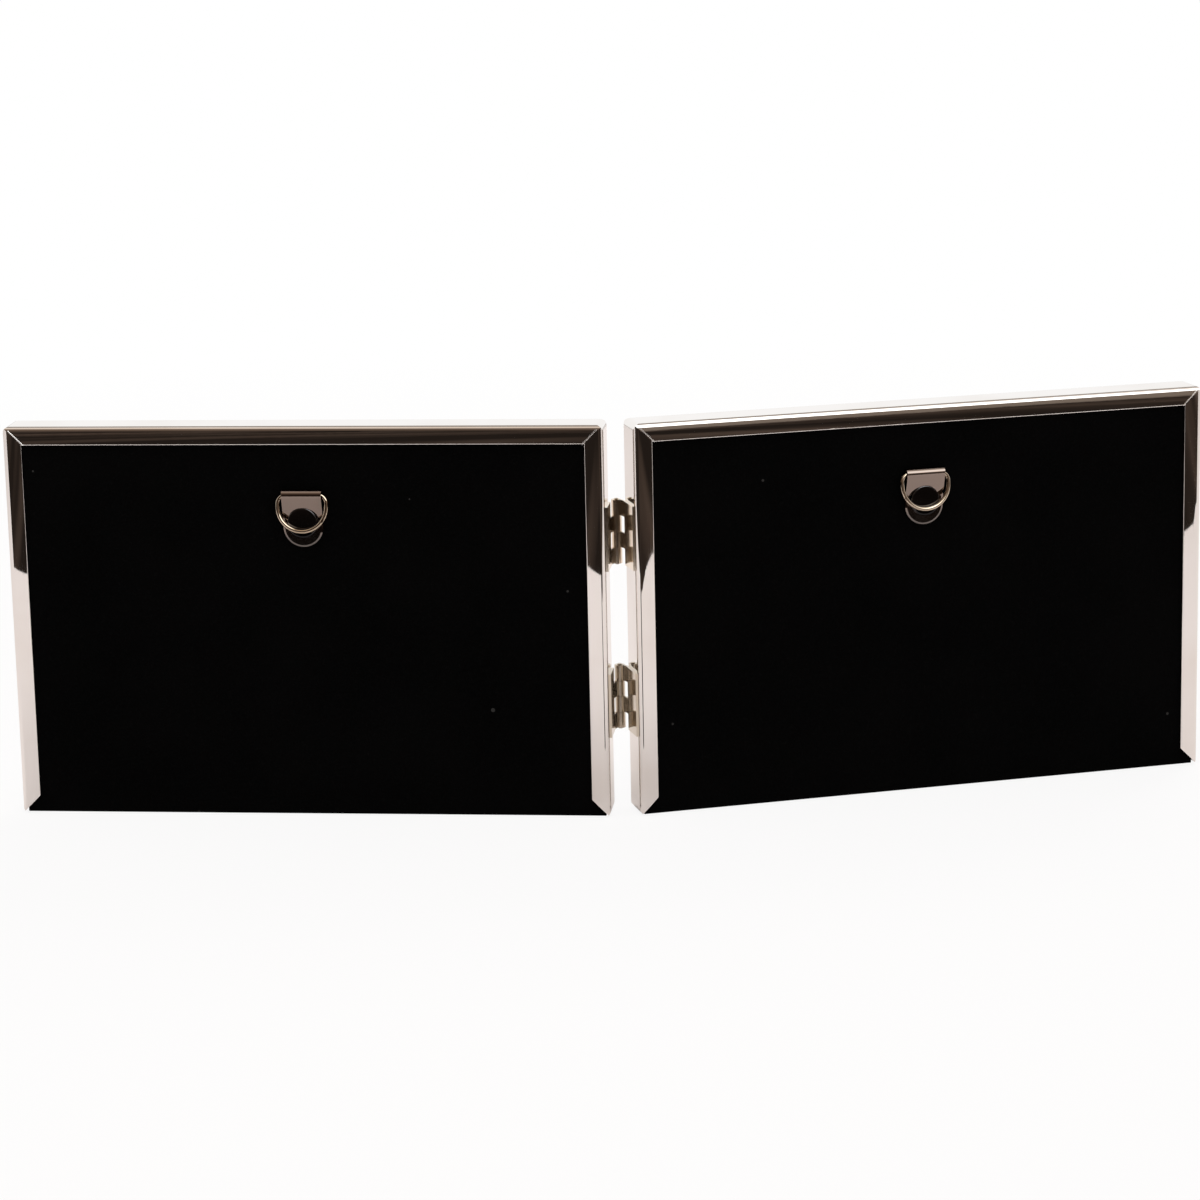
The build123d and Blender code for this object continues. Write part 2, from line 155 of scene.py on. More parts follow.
def panel_axes(name):
    """Matrix of one frame's own axes: X across, Y to its back, Z up, from under its hanging ring's bar."""
    swing = joint_named(f"{name}_ring_swing")
    across = Vector(swing["axis"]).normalized()
    back = Vector((0, 0, 1)).cross(across)
    place = Vector(swing["pos_m"])
    axes = Matrix((across, back, (0, 0, 1))).transposed().to_4x4()
    axes.translation = (place.x, place.y, 0)
    return axes


PANELS = {name: panel_axes(name) for name in SIDES}


def spread(node, name):
    """A node's lowest and highest corner in one frame's own axes."""
    to_panel = PANELS[name].inverted()
    points = [to_panel @ vertex.co for vertex in frame["nodes"][node].data.vertices]
    low = Vector([min(point[i] for point in points) for i in range(3)])
    high = Vector([max(point[i] for point in points) for i in range(3)])
    return low, high


# Shader building


def feed(tree, socket, value):
    """Links a socket to another, or sets its value."""
    if isinstance(value, bpy.types.NodeSocket):
        tree.links.new(value, socket)
    else:
        socket.default_value = value


def math_node(tree, operation, *values):
    """A Math node's output, from values or links."""
    made = tree.nodes.new("ShaderNodeMath")
    made.operation = operation
    for socket, value in zip(made.inputs, values):
        feed(tree, socket, value)
    return made.outputs[0]


def map_range(tree, value, low, high, to_low, to_high):
    """A clamped Map Range node's output."""
    made = tree.nodes.new("ShaderNodeMapRange")
    for socket, number in zip(made.inputs, (value, low, high, to_low, to_high)):
        feed(tree, socket, number)
    return made.outputs[0]


def mix_colour(tree, factor, first, second, blend="MIX"):
    """A Mix node's colour, from colours or links."""
    made = tree.nodes.new("ShaderNodeMix")
    made.data_type = "RGBA"
    made.blend_type = blend
    for index, value in ((0, factor), (6, first), (7, second)):
        feed(tree, made.inputs[index], value)
    return made.outputs[2]


def noise(tree, vector, scale, detail=2.0, roughness=0.5):
    """A Noise Texture's value."""
    made = tree.nodes.new("ShaderNodeTexNoise")
    feed(tree, made.inputs["Vector"], vector)
    feed(tree, made.inputs["Scale"], scale)
    made.inputs["Detail"].default_value = detail
    made.inputs["Roughness"].default_value = roughness
    return made.outputs[0]


def stretched(tree, vector, scale, turn=0.0):
    """A place turned about Z, then scaled along each axis."""
    made = tree.nodes.new("ShaderNodeMapping")
    feed(tree, made.inputs["Vector"], vector)
    made.inputs["Rotation"].default_value = (0.0, 0.0, turn)
    made.inputs["Scale"].default_value = scale
    return made.outputs[0]


def axis_of(tree, vector, axis):
    """One coordinate of a place."""
    made = tree.nodes.new("ShaderNodeSeparateXYZ")
    feed(tree, made.inputs[0], vector)
    return made.outputs[axis]


def bump(tree, height, distance, strength=1.0):
    """A Bump node's normal."""
    made = tree.nodes.new("ShaderNodeBump")
    feed(tree, made.inputs["Height"], height)
    made.inputs["Distance"].default_value = distance
    made.inputs["Strength"].default_value = strength
    return made.outputs["Normal"]


def rgba(red, green, blue):
    """A colour with full alpha."""
    return (red, green, blue, 1.0)


def new_group(name, inputs, outputs):
    """An empty shader node group with named sockets. Returns the group, its input and its output node."""
    group = bpy.data.node_groups.new(name, "ShaderNodeTree")
    for label, kind, value in inputs:
        socket = group.interface.new_socket(label, in_out="INPUT", socket_type=f"NodeSocket{kind}")
        if value is not None:
            socket.default_value = value
    for label in outputs:
        group.interface.new_socket(label, in_out="OUTPUT", socket_type="NodeSocketFloat")
    return group, group.nodes.new("NodeGroupInput"), group.nodes.new("NodeGroupOutput")


def place_group(tree, group, **values):
    """A group in a material, with its inputs' values or links. Returns its outputs."""
    made = tree.nodes.new("ShaderNodeGroup")
    made.node_tree = group
    for key, value in values.items():
        feed(tree, made.inputs[key.replace("_", " ").title()], value)
    return made.outputs


def new_material(name):
    """A material with its Principled shader. Returns the material, its tree and the shader."""
    material = bpy.data.materials.new(name)
    material.use_nodes = True
    tree = material.node_tree
    return material, tree, tree.nodes["Principled BSDF"]


def object_place(tree):
    """The surface's place in the row frame, in metres."""
    return tree.nodes.new("ShaderNodeTexCoord").outputs["Object"]


def polish_lines_group():
    """Fine lines that a polishing wheel leaves, from a place that is stretched along them."""
    group, source, result = new_group("polish_lines", [("Vector", "Vector", None)], ("Height", "Streak"))
    fine = noise(group, source.outputs["Vector"], 1.0, 3.0, 0.6)
    broad = noise(group, source.outputs["Vector"], 0.22, 1.0)
    feed(group, result.inputs["Height"], math_node(group, "MULTIPLY_ADD", broad, 1.6, fine))
    feed(group, result.inputs["Streak"], map_range(group, fine, 0.55, 0.72, 0.0, 1.0))
    return group


def handling_group():
    """Marks of handling: clouds of slightly dulled polish, and sparse specks of dust."""
    group, source, result = new_group(
        "handling_marks",
        [
            ("Vector", "Vector", None),
            ("Cloud Scale", "Float", 45.0),
            ("Speck Scale", "Float", 420.0),
            ("Speck Size", "Float", 0.1),
            ("Speck Share", "Float", 0.12),
        ],
        ("Cloud", "Speck"),
    )
    cloud = noise(group, source.outputs["Vector"], source.outputs["Cloud Scale"], 4.0)
    feed(group, result.inputs["Cloud"], map_range(group, cloud, 0.45, 0.75, 0.0, 1.0))
    speck = group.nodes.new("ShaderNodeTexVoronoi")
    feed(group, speck.inputs["Vector"], source.outputs["Vector"])
    feed(group, speck.inputs["Scale"], source.outputs["Speck Scale"])
    parts = group.nodes.new("ShaderNodeSeparateColor")
    feed(group, parts.inputs[0], speck.outputs["Color"])
    size = math_node(group, "MULTIPLY", source.outputs["Speck Size"], parts.outputs[1])
    near = math_node(group, "LESS_THAN", speck.outputs["Distance"], size)
    chosen = math_node(group, "LESS_THAN", parts.outputs[0], source.outputs["Speck Share"])
    feed(group, result.inputs["Speck"], math_node(group, "MULTIPLY", near, chosen))
    return group


def fibre_group():
    """Short fibres and flecks of pressed board, card and paper."""
    group, source, result = new_group(
        "fibre_flecks", [("Vector", "Vector", None), ("Scale", "Float", 900.0)], ("Fleck", "Height")
    )
    laid = stretched(group, source.outputs["Vector"], (1.0, 1.0, 0.3))
    grain = noise(group, laid, source.outputs["Scale"], 5.0)
    feed(group, result.inputs["Fleck"], map_range(group, grain, 0.4, 0.7, 0.0, 1.0))
    feed(group, result.inputs["Height"], grain)
    return group


POLISH = polish_lines_group()
HANDLING = handling_group()
FIBRE = fibre_group()

# Finishes

DUST_TONE = (0.5, 0.46, 0.42)


def mix_shaders(tree, factor, first, second, output="Material Output"):
    """Two shaders, mixed into the output."""
    mixed = tree.nodes.new("ShaderNodeMixShader")
    for socket, value in zip(mixed.inputs, (factor, first.outputs[0], second.outputs[0])):
        feed(tree, socket, value)
    feed(tree, tree.nodes[output].inputs["Surface"], mixed.outputs[0])


def nickel(name, colours, gloss, line_scale, line_depth=0.003 * MM, turn=0.0, edge=1.0, painted_low_shade=None):
    """Nickel plate: polishing lines, clouds of handling, and a second tone where it has tarnished.

    The edge is what it mirrors at a low angle. A painted low shade gives two heights and the colour that
    multiplies the tone below them: painted shade, darker towards the bottom.
    """
    material, tree, shader = new_material(name)
    clean, tarnished = colours
    low, high = gloss
    place = object_place(tree)
    lines = place_group(tree, POLISH, vector=stretched(tree, place, line_scale, turn))
    marks = place_group(tree, HANDLING, vector=place)
    tone = mix_colour(tree, marks["Cloud"], rgba(*clean), rgba(*tarnished))
    tone = mix_colour(tree, math_node(tree, "MULTIPLY", marks["Speck"], 0.5), tone, rgba(*DUST_TONE))
    # Painted shade: below the two heights the tone is multiplied by a darker colour
    if painted_low_shade:
        start, end, tint = painted_low_shade
        share = map_range(tree, axis_of(tree, place, "Z"), start, end, 1.0, 0.0)
        tone = mix_colour(tree, share, tone, rgba(*tint), "MULTIPLY")
    feed(tree, shader.inputs["Base Color"], tone)
    shader.inputs["Metallic"].default_value = 1.0
    shader.inputs["Specular Tint"].default_value = rgba(edge, edge, edge)
    worn = math_node(tree, "MULTIPLY_ADD", lines["Streak"], (high - low) / 2, low)
    worn = math_node(tree, "MULTIPLY_ADD", marks["Cloud"], (high - low) / 2, worn)
    feed(tree, shader.inputs["Roughness"], worn)
    feed(tree, shader.inputs["Normal"], bump(tree, lines["Height"], line_depth))
    return material


def velvet_material():
    """Short black velvet: pile, a soft sheen, and a few flecks of lint."""
    material, tree, shader = new_material("black_velvet")
    place = object_place(tree)
    pile = noise(tree, place, 2600.0, 3.0, 0.7)
    nap = map_range(tree, noise(tree, place, 38.0, 3.0), 0.35, 0.7, 0.0, 1.0)
    deep = mix_colour(tree, nap, *(rgba(*tone) for tone in VELVET_TONES))
    lit = mix_colour(tree, map_range(tree, pile, 0.5, 0.8, 0.0, 1.0), deep, rgba(*PILE_TONE))
    lint = place_group(tree, HANDLING, vector=place, speck_scale=150.0, speck_size=0.085, speck_share=0.2)
    flecked = mix_colour(tree, lint["Speck"], lit, rgba(*LINT_TONE))
    feed(tree, shader.inputs["Base Color"], flecked)
    shader.inputs["Roughness"].default_value = 0.95
    shader.inputs["Specular IOR Level"].default_value = 0.03
    shader.inputs["Sheen Weight"].default_value = 0.02
    shader.inputs["Sheen Roughness"].default_value = 0.35
    shader.inputs["Sheen Tint"].default_value = rgba(0.25, 0.23, 0.24)
    feed(tree, shader.inputs["Normal"], bump(tree, pile, 0.12 * MM, 0.6))
    return material


def glass_material():
    """Clear float glass with faint marks of wiping. It mirrors on its outer face and lets light through."""
    material, tree, shader = new_material("clear_glass")
    marks = place_group(tree, HANDLING, vector=object_place(tree), cloud_scale=30.0)
    feed(tree, shader.inputs["Roughness"], math_node(tree, "MULTIPLY_ADD", marks["Cloud"], 0.03, 0.01))
    shader.inputs["Base Color"].default_value = rgba(0.95, 0.985, 0.97)
    shader.inputs["Metallic"].default_value = 1.0
    passing = tree.nodes.new("ShaderNodeBsdfTransparent")
    passing.inputs["Color"].default_value = rgba(0.984, 0.99, 0.986)
    mirror = tree.nodes.new("ShaderNodeFresnel")
    mirror.inputs["IOR"].default_value = GLASS_IOR
    outer = math_node(tree, "SUBTRACT", 1.0, tree.nodes.new("ShaderNodeNewGeometry").outputs["Backfacing"])
    mix_shaders(tree, math_node(tree, "MULTIPLY", mirror.outputs[0], outer), passing, shader)
    return material


def board_material(name, colour, fleck, roughness, scale, depth):
    """Paper, card or pressed board: flecks of fibre in a plain tone, slightly clouded."""
    material, tree, shader = new_material(name)
    place = object_place(tree)
    fibres = place_group(tree, FIBRE, vector=place, scale=scale)
    marks = place_group(tree, HANDLING, vector=place, cloud_scale=18.0)
    tone = mix_colour(tree, fibres["Fleck"], rgba(*colour), rgba(*fleck))
    clouded = mix_colour(tree, 1.0, tone, rgba(0.93, 0.92, 0.9), "MULTIPLY")
    feed(tree, shader.inputs["Base Color"], mix_colour(tree, marks["Cloud"], tone, clouded))
    feed(tree, shader.inputs["Roughness"], map_range(tree, fibres["Fleck"], 0.0, 1.0, *roughness))
    feed(tree, shader.inputs["Normal"], bump(tree, fibres["Height"], depth))
    return material


FINE, LONG = 900.0, 6.0  # polishing lines per metre, across them and along them
RAIL_TONES = ((0.88, 0.845, 0.815), (0.82, 0.77, 0.725))
RAIL_GLOSS = (0.015, 0.05)

upright_rail = nickel("upright_rail_nickel", RAIL_TONES, RAIL_GLOSS, (FINE, FINE, LONG))
level_rail = {
    name: nickel(f"{name}_level_rail_nickel", RAIL_TONES, RAIL_GLOSS, (LONG, FINE, FINE),
                 turn=-PANELS[name].to_euler().z)
    for name in SIDES
}
SEAM_TONES = ((0.95, 0.93, 0.91), (0.9, 0.87, 0.84))
# Heights below which the lower hinge is darkened: painted shade where it sits deeper between the panels
LOWER_HINGE_SHADE_HEIGHTS = (45 * MM, 60 * MM)
HINGE_TONES = ((0.93, 0.83, 0.7), (0.58, 0.47, 0.34))
# Strap tones well below the rails' nickel: painted shade, the strap being the same nickel as the rails
STRAP_TONES = ((0.27, 0.215, 0.185), (0.215, 0.17, 0.145))
RING_TONES = ((0.6, 0.5, 0.39), (0.42, 0.32, 0.22))
CAP_TONES = ((0.17, 0.165, 0.17), (0.12, 0.115, 0.12))
mitre_seam = nickel("mitre_seam_nickel", SEAM_TONES, (0.12, 0.2), (FINE, FINE, FINE))
# The lower hinge gets painted shade: its tone is multiplied darker below the heights above
hinge_plate = nickel(
    "hinge_nickel", HINGE_TONES, (0.09, 0.17), (FINE, FINE, 30.0),
    painted_low_shade=(*LOWER_HINGE_SHADE_HEIGHTS, (0.66, 0.65, 0.63)),
)
cap_foot = spread("right_rivet_cap", "right")[0].z
# The strap's end below the rivet cap is multiplied darker and cooler: painted shade
strap_plate = nickel(
    "strap_nickel", STRAP_TONES, (0.05, 0.1), (40.0, FINE, FINE), 0.0004 * MM,
    painted_low_shade=(cap_foot, cap_foot + 3.0 * MM, (0.66, 0.74, 0.8)),
)
ring_plate = nickel("ring_nickel", RING_TONES, (0.03, 0.07), (FINE, FINE, FINE))
# The cap's lower part is multiplied nearly black, rising from its foot: painted shade in place of the bright
# table it would mirror
cap_plate = nickel(
    "rivet_nickel", CAP_TONES, (0.03, 0.08), (FINE, FINE, FINE), edge=0.0,
    painted_low_shade=(cap_foot + 1.0 * MM, cap_foot + 4.0 * MM, (0.12, 0.12, 0.12)),
)
velvet = velvet_material()
clear_glass = glass_material()
print_paper = board_material(
    "blank_print", (0.84, 0.83, 0.8), (0.8, 0.79, 0.76), (0.3, 0.45), 1500.0, 0.01 * MM
)
card = board_material("grey_card", (0.44, 0.4, 0.34), (0.3, 0.27, 0.23), (0.8, 0.95), 1100.0, 0.05 * MM)
hardboard = board_material("hardboard", (0.2, 0.115, 0.06), (0.1, 0.055, 0.03), (0.6, 0.8), 800.0, 0.08 * MM)


def dress(node, material):
    """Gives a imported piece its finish."""
    mesh = frame["nodes"][node].data
    mesh.materials.clear()
    mesh.materials.append(material)


PANEL_FINISHES = {
    "hinge_rail": upright_rail,
    "outer_rail": upright_rail,
    "glass": clear_glass,
    "photo_print": print_paper,
    "backing_card": card,
    "back_board": hardboard,
    "velvet_cover": velvet,
    "hanger_strap": strap_plate,
    "rivet_cap": cap_plate,
    "rivet_base": cap_plate,
    "hanging_ring": ring_plate,
}
for name in SIDES:
    for piece, finish in PANEL_FINISHES.items():
        dress(f"{name}_{piece}", finish)
    for rail in ("top_rail", "foot_rail"):
        dress(f"{name}_{rail}", level_rail[name])
    for level in LEVELS:
        dress(f"{level}_hinge_{name}_leaf", hinge_plate)
for level in LEVELS:
    dress(f"{level}_hinge_pin", hinge_plate)


def add_mesh(name, mesh_edit, material, smooth=True):
    """A new mesh object from a finished bmesh."""
    mesh = bpy.data.meshes.new(name)
    mesh_edit.to_mesh(mesh)
    mesh_edit.free()
    for face in mesh.polygons:
        face.use_smooth = smooth
    mesh.materials.append(material)
    made = bpy.data.objects.new(name, mesh)
    bpy.context.scene.collection.objects.link(made)
    return made


def skin(rows, closed_rows=False, closed_turn=False):
    """A bmesh of four-sided faces between neighbouring rows of points."""
    mesh_edit = bmesh.new()
    verts = [[mesh_edit.verts.new(point) for point in row] for row in rows]
    followers = verts[1:] + (verts[:1] if closed_turn else [])
    for first, second in zip(verts, followers):
        count = len(first) if closed_rows else len(first) - 1
        for k in range(count):
            after = (k + 1) % len(first)
            mesh_edit.faces.new((first[k], first[after], second[after], second[k]))
    bmesh.ops.remove_doubles(mesh_edit, verts=mesh_edit.verts, dist=1e-7)
    bmesh.ops.recalc_face_normals(mesh_edit, faces=mesh_edit.faces)
    return mesh_edit


def facing_back(mesh_edit, name):
    """The same open sheet, with its faces turned to one frame's back."""
    back = PANELS[name].to_3x3() @ Vector((0, 1, 0))
    if sum(face.normal.dot(back) * face.calc_area() for face in mesh_edit.faces) < 0:
        bmesh.ops.reverse_faces(mesh_edit, faces=mesh_edit.faces)
    return mesh_edit


# Velvet, glued over the board's back and turned under its lower edge


def velvet_outline(low, high, thickness):
    """Depth and height along the sheet's outer face, from its hidden edge under the board to the top."""
    points = [(low.y, low.z), ((low.y + high.y) / 2, low.z)]
    for step in range(VELVET_BEND_STEPS + 1):
        angle = math.pi / 2 * step / VELVET_BEND_STEPS
        points.append((high.y - thickness * (1 - math.sin(angle)), low.z + thickness * (1 - math.cos(angle))))
    rise = high.z - low.z - thickness
    start = low.z + thickness
    return points + [(high.y, start + rise * step / VELVET_UP) for step in range(1, VELVET_UP + 1)]


def velvet_sheet(name):
    """The velvet of one back, as a thin sheet that lies on the board."""
    low, high = spread(f"{name}_velvet_cover", name)
    thickness = high.y - spread(f"{name}_back_board", name)[1].y
    outline = velvet_outline(low, high, thickness)
    rows = []
    for index in range(VELVET_ACROSS + 1):
        x = low.x + (high.x - low.x) * index / VELVET_ACROSS
        row = []
        for depth, height in outline:
            wave = 0.5 + 0.5 * math.sin(VELVET_WAVES[0] * x + 2.0 * math.sin(VELVET_WAVES[1] * height))
            sink = VELVET_WAVE * wave if depth == high.y else 0.0
            row.append(PANELS[name] @ Vector((x, depth - sink, height)))
        rows.append(row)
    sheet = add_mesh(f"{name}_velvet_sheet", facing_back(skin(rows), name), velvet)
    backing = sheet.modifiers.new("backing", "SOLIDIFY")
    backing.thickness = thickness * VELVET_BACKING
    backing.offset = -1.0
    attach(sheet, f"{name}_back")
    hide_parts(f"{name}_velvet_cover")


# Print


def blank_print(name):
    """The blank print of one frame, its face a hair behind the glass so that the two don't coincide."""
    low, high = spread(f"{name}_photo_print", name)
    low.y += PRINT_GAP
    mesh_edit = bmesh.new()
    bmesh.ops.create_cube(mesh_edit, size=1.0)
    for vert in mesh_edit.verts:
        corner = [low[i] + (high[i] - low[i]) * (vert.co[i] + 0.5) for i in range(3)]
        vert.co = PANELS[name] @ Vector(corner)
    paper = add_mesh(f"{name}_blank_print", mesh_edit, print_paper, smooth=False)
    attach(paper, f"{name}_frame")
    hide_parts(f"{name}_photo_print")


# Hanging ring of round wire, and the cap of the rivet under it


def ring_path(half, drop):
    """Middle of the ring's wire, X across and Y down from the bar, with the directions out of the ring."""
    flat = half - RING_CORNER
    arcs = [
        ((flat, RING_CORNER), RING_CORNER, -90, 90),
        ((0.0, drop - half), half, 0, 180),
        ((-flat, RING_CORNER), RING_CORNER, 180, 90),
    ]
    path = []
    for (x, y), radius, start, sweep in arcs:
        steps = ARC_STEPS * sweep // 90
        for step in range(steps + 1):
            angle = math.radians(start + sweep * step / steps)
            outward = Vector((math.cos(angle), math.sin(angle)))
            path.append((Vector((x, y)) + radius * outward, outward))
    return path


def wire_ring(name):
    """The ring of one hanger, hanging from its bar and leaning out over the rivet."""
    low, high = spread(f"{name}_hanging_ring", name)
    bar = PANELS[name].inverted() @ Vector(joint_named(f"{name}_ring_swing")["pos_m"])
    foot = Vector((0, high.y - RING_WIRE / 2 - bar.y, low.z + RING_WIRE / 2 - bar.z))
    down = foot.normalized()
    across = Vector((1, 0, 0))
    out = across.cross(down)
    turns = [math.tau * step / WIRE_SIDES for step in range(WIRE_SIDES)]
    rows = []
    for middle, outward in ring_path((high.x - low.x - RING_WIRE) / 2, foot.length):
        centre = bar + across * middle.x + down * middle.y
        side = across * outward.x + down * outward.y
        rows.append([
            PANELS[name] @ (centre + (side * math.cos(turn) + out * math.sin(turn)) * RING_WIRE / 2)
            for turn in turns
        ])
    ring = add_mesh(f"{name}_wire_ring", skin(rows, closed_rows=True, closed_turn=True), ring_plate)
    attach(ring, f"{name}_ring")
    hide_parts(f"{name}_hanging_ring")


def rounded_cap(name):
    """The cap of one rivet, with a rolled shoulder in place of a bevel."""
    low, high = spread(f"{name}_rivet_cap", name)
    middle = (low + high) / 2
    centre = Vector((middle.x, 0.0, middle.z))
    radius, top = (high.x - low.x) / 2, high.y
    shoulder = top - CAP_CROWN - CAP_SHOULDER
    inner = radius - CAP_SHOULDER
    outline = [(0.0, low.y), (radius, low.y)]
    for step in range(CAP_STEPS + 1):
        angle = math.pi / 2 * step / CAP_STEPS
        outline.append((inner + CAP_SHOULDER * math.cos(angle), shoulder + CAP_SHOULDER * math.sin(angle)))
    for step in range(1, CAP_STEPS + 1):
        share = step / CAP_STEPS
        outline.append((inner * (1 - share), top - CAP_CROWN * (1 - share) ** 2))
    rows = []
    for step in range(CAP_SIDES):
        turn = math.tau * step / CAP_SIDES
        rows.append([
            PANELS[name] @ (centre + Vector((reach * math.cos(turn), depth, reach * math.sin(turn))))
            for reach, depth in outline
        ])
    cap = add_mesh(f"{name}_rounded_cap", skin(rows, closed_turn=True), cap_plate)
    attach(cap, f"{name}_back")
    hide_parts(f"{name}_rivet_cap")


# Soldered seams along the mitres of the back flanges


def mitre_bead(name, end):
    """A low bead along one upper mitre, from the outer bend to the flange's inner edge. End is -1 or 1."""
    low, high = spread(f"{name}_top_rail", name)
    corner = Vector((high.x if end > 0 else low.x, high.y, high.z))
    inward = Vector((-end, 0, -1)).normalized()
    aside = Vector((-end, 0, 1)).normalized()
    rows = []
    for step in range(SEAM_STEPS + 1):
        run = SEAM_START + (FLANGE - SEAM_START) * step / SEAM_STEPS
        sink = FLANGE_CROWN * (2 * run / FLANGE - 1) ** 2
        middle = corner + inward * run * math.sqrt(2) - Vector((0, sink, 0))
        row = []
        for k in range(SEAM_SIDES + 1):
            turn = math.pi * k / SEAM_SIDES
            lift = Vector((0, SEAM_HEIGHT * (math.sin(turn) - 0.3), 0))
            row.append(PANELS[name] @ (middle + aside * math.cos(turn) * SEAM_WIDTH / 2 + lift))
        rows.append(row)
    place = "inner" if end * SIDES[name] < 0 else "outer"
    seam = add_mesh(f"{name}_{place}_mitre_seam", facing_back(skin(rows), name), mitre_seam)
    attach(seam, f"{name}_frame")


for name in SIDES:
    blank_print(name)
    velvet_sheet(name)
    wire_ring(name)
    rounded_cap(name)
    for end in (-1, 1):
        mitre_bead(name, end)

# Studio: pale table, white surroundings, a dark room that only the metal sees, soft lamps


def table_material():
    """Pale table. Where the camera sees it, it is nearly white and keeps the object's shadow."""
    material, tree, shader = new_material("table_pale")
    shader.inputs["Base Color"].default_value = rgba(*TABLE_TONE)
    shader.inputs["Roughness"].default_value = 0.9
    shader.inputs["Specular IOR Level"].default_value = 0.0
    white = tree.nodes.new("ShaderNodeEmission")
    path = tree.nodes.new("ShaderNodeLightPath")
    away = tree.nodes.new("ShaderNodeVectorMath")
    away.operation = "LENGTH"
    feed(tree, away.inputs[0], object_place(tree))
    share = map_range(tree, away.outputs["Value"], *SHADOW_REACH, *TABLE_WHITE)
    mix_shaders(tree, math_node(tree, "MULTIPLY", path.outputs["Is Camera Ray"], share), shader, white)
    return material


def tone_ramp(tree, value, stops):
    """A colour for each share from 0 to 1."""
    made = tree.nodes.new("ShaderNodeValToRGB")
    feed(tree, made.inputs[0], value)
    elements = made.color_ramp.elements
    while len(elements) < len(stops):
        elements.new(1.0)
    for element, (share, colour) in zip(elements, stops):
        element.position = share
        element.color = rgba(*colour)
    return made.outputs["Color"]


def glowing(name, tint):
    """A material that only shows a colour, which the tint function makes in its tree."""
    material, tree, shader = new_material(name)
    glow = tree.nodes.new("ShaderNodeEmission")
    feed(tree, glow.inputs["Color"], tint(tree))
    feed(tree, tree.nodes["Material Output"].inputs["Surface"], glow.outputs[0])
    return material


def round_the_object(tree, place):
    """How far a place lies from the object along the floor, and the window's share in that direction."""
    x, y = axis_of(tree, place, "X"), axis_of(tree, place, "Y")
    squares = math_node(tree, "ADD", math_node(tree, "POWER", x, 2.0), math_node(tree, "POWER", y, 2.0))
    turn = math_node(tree, "ARCTAN2", x, y)
    begun = map_range(tree, turn, *SIDE_CHANGE, 0.0, 1.0)
    window = math_node(tree, "MULTIPLY", begun, map_range(tree, turn, *WINDOW_END, 0.0, 1.0))
    return math_node(tree, "SQRT", squares), window


def streaked_dark(tree):
    """Dark brown with lighter streaks that run towards the object, and lighter far out before the window."""
    place = object_place(tree)
    reach, window = round_the_object(tree, place)
    streak = noise(tree, stretched(tree, place, (11.0, 1.0, 2.0)), 1.0, 1.0)
    streaked = mix_colour(
        tree, map_range(tree, streak, 0.45, 0.75, 0.0, 1.0), rgba(*ROOM_DARK), rgba(*ROOM_STREAK)
    )
    wavy = math_node(tree, "MULTIPLY_ADD", noise(tree, place, 2.2), 0.5, reach)
    far_out = math_node(tree, "MULTIPLY", window, map_range(tree, wavy, *WINDOW_FLOOR, 0.0, 1.0))
    return mix_colour(tree, far_out, streaked, rgba(*WINDOW_FLOOR_TONE))


def shell_tones(tree):
    """Tones of the room from its foot to overhead, warm on one side and with a window on the other."""
    place = object_place(tree)
    reach, window = round_the_object(tree, place)
    before = math_node(tree, "MULTIPLY", reach, math_node(tree, "SIGN", axis_of(tree, place, "Y")))
    rise = math_node(tree, "ARCTAN2", axis_of(tree, place, "Z"), before)
    wave = math_node(tree, "MULTIPLY_ADD", noise(tree, place, 3.0), 0.03, -0.015)
    wavy = math_node(tree, "MULTIPLY_ADD", rise, 2 / math.pi, wave)
    return mix_colour(tree, window, tone_ramp(tree, wavy, WARM_SIDE), tone_ramp(tree, wavy, WINDOW_SIDE))


def far_tone(tree):
    """Greyer table with faint clouds."""
    cloud = map_range(tree, noise(tree, object_place(tree), 4.0), 0.3, 0.7, 0.0, 1.0)
    return mix_colour(tree, cloud, *(rgba(*tone) for tone in FAR_TONES))


def table_edge(x):
    """How far towards the camera the pale table reaches at a place across."""
    notch = TABLE_NOTCH * math.exp(-(((x - TABLE_NOTCH_PLACE) / TABLE_NOTCH_WIDTH) ** 2))
    strip = HINGE_STRIP * math.exp(-((x / HINGE_STRIP_WIDTH) ** 4))
    return max(TABLE_EDGE - TABLE_EDGE_BEND * x * x - notch - strip, DARK_FLOOR_SLOPE * abs(x))


def steps_between(low, high, count):
    """Evenly spaced values, both ends among them."""
    return [low + (high - low) * step / count for step in range(count + 1)]


def room_point(turn, rise):
    """A point of the room's shell, turned aside from the camera's side and risen from the floor."""
    level = ROOM_REACH * math.cos(rise)
    return Vector((level * math.sin(turn), level * math.cos(turn), ROOM_REACH * math.sin(rise)))


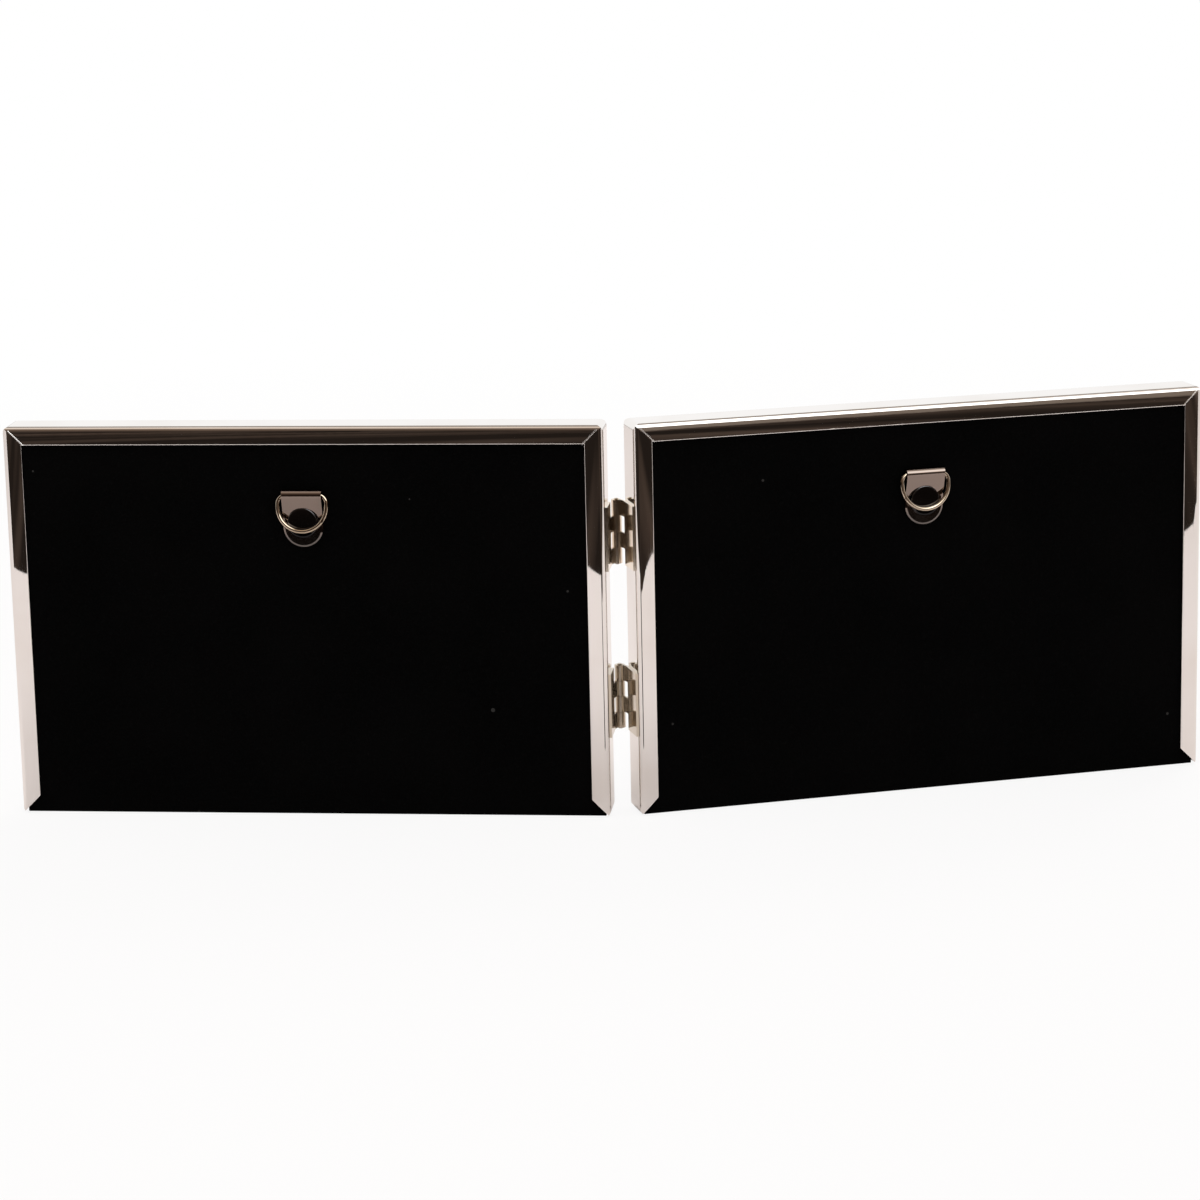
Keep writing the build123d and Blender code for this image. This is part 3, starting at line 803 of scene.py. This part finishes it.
def studio_set():
    """The pale floor, and what only the metal sees: the dark floor beyond, the room and a greyer stretch."""
    mesh_edit = bmesh.new()
    bmesh.ops.create_grid(mesh_edit, x_segments=1, y_segments=1, size=FLOOR_REACH)
    floor = add_mesh("table_top", mesh_edit, table_material(), smooth=False)
    places = steps_between(-ROOM_HALF_WIDTH, ROOM_HALF_WIDTH, ROOM_STEPS)
    beyond = [
        [Vector((x, y, CARD_LIFT)) for y in (table_edge(x), math.sqrt(ROOM_REACH ** 2 - x * x))]
        for x in places
    ]
    shell = [
        [room_point(turn, rise) for rise in steps_between(0.0, ROOM_RISE, ROOM_STEPS // 4)]
        for turn in steps_between(-ROOM_TURN, ROOM_TURN, ROOM_STEPS // 2)
    ]
    far = [[Vector((x, y, CARD_LIFT)) for y in FAR_BAND] for x in (-ROOM_HALF_WIDTH, ROOM_HALF_WIDTH)]
    unseen = [
        add_mesh("dark_floor", skin(beyond), glowing("dark_floor", streaked_dark), smooth=False),
        add_mesh("room_shell", skin(shell), glowing("room_tones", shell_tones), smooth=False),
        add_mesh("far_table", skin(far), glowing("far_table", far_tone), smooth=False),
    ]
    for card_piece in unseen:
        for ray in ("visible_camera", "visible_diffuse", "visible_shadow", "visible_transmission"):
            setattr(card_piece, ray, False)


def white_world():
    """White surroundings for the camera, metal and glass, and an even soft light on everything else."""
    world = bpy.data.worlds.new("studio_white")
    bpy.context.scene.world = world
    world.use_nodes = True
    tree = world.node_tree
    light = tree.nodes["Background"]
    light.inputs["Color"].default_value = rgba(*WORLD_TONE)
    light.inputs["Strength"].default_value = WORLD_STRENGTH
    white = tree.nodes.new("ShaderNodeBackground")
    white.inputs["Color"].default_value = rgba(1.0, 1.0, 1.0)
    path = tree.nodes.new("ShaderNodeLightPath")
    seen = math_node(tree, "MAXIMUM", path.outputs["Is Camera Ray"], path.outputs["Is Glossy Ray"])
    seen = math_node(tree, "MAXIMUM", seen, path.outputs["Is Transmission Ray"])
    mix_shaders(tree, seen, light, white, "World Output")


def soft_lamp(name, place, aim, size, power):
    """A square soft lamp that faces a point."""
    data = bpy.data.lights.new(name, "AREA")
    data.size = size
    data.energy = power
    lamp = bpy.data.objects.new(name, data)
    lamp.visible_glossy = False
    lamp.location = place
    lamp.rotation_euler = (Vector(aim) - Vector(place)).to_track_quat("-Z", "Y").to_euler()
    bpy.context.scene.collection.objects.link(lamp)


def photo_camera():
    """The camera at the photograph's viewing angle."""
    forward = Vector((
        math.sin(CAMERA_YAW) * math.cos(CAMERA_PITCH),
        -math.cos(CAMERA_YAW) * math.cos(CAMERA_PITCH),
        -math.sin(CAMERA_PITCH),
    ))
    right = forward.cross(Vector((0, 0, 1))).normalized()
    up = right.cross(forward)
    turned_right = right * math.cos(CAMERA_ROLL) + up * math.sin(CAMERA_ROLL)
    turned_up = up * math.cos(CAMERA_ROLL) - right * math.sin(CAMERA_ROLL)
    data = bpy.data.cameras.new("photo_camera")
    data.lens = CAMERA_LENS
    data.sensor_width = SENSOR_WIDTH
    camera = bpy.data.objects.new("photo_camera", data)
    turned = Matrix((turned_right, turned_up, -forward)).transposed()
    pins = Vector(joint_named("fold")["pos_m"])
    foot = Vector((pins.x, pins.y, 0.0))
    camera.matrix_world = Matrix.LocRotScale(foot + CAMERA_FROM_PINS, turned, None)
    bpy.context.scene.collection.objects.link(camera)
    bpy.context.scene.camera = camera


studio_set()
white_world()
for lamp_name, values in LAMPS.items():
    soft_lamp(lamp_name, *values)
photo_camera()
bpy.context.scene.view_settings.view_transform = "Standard"
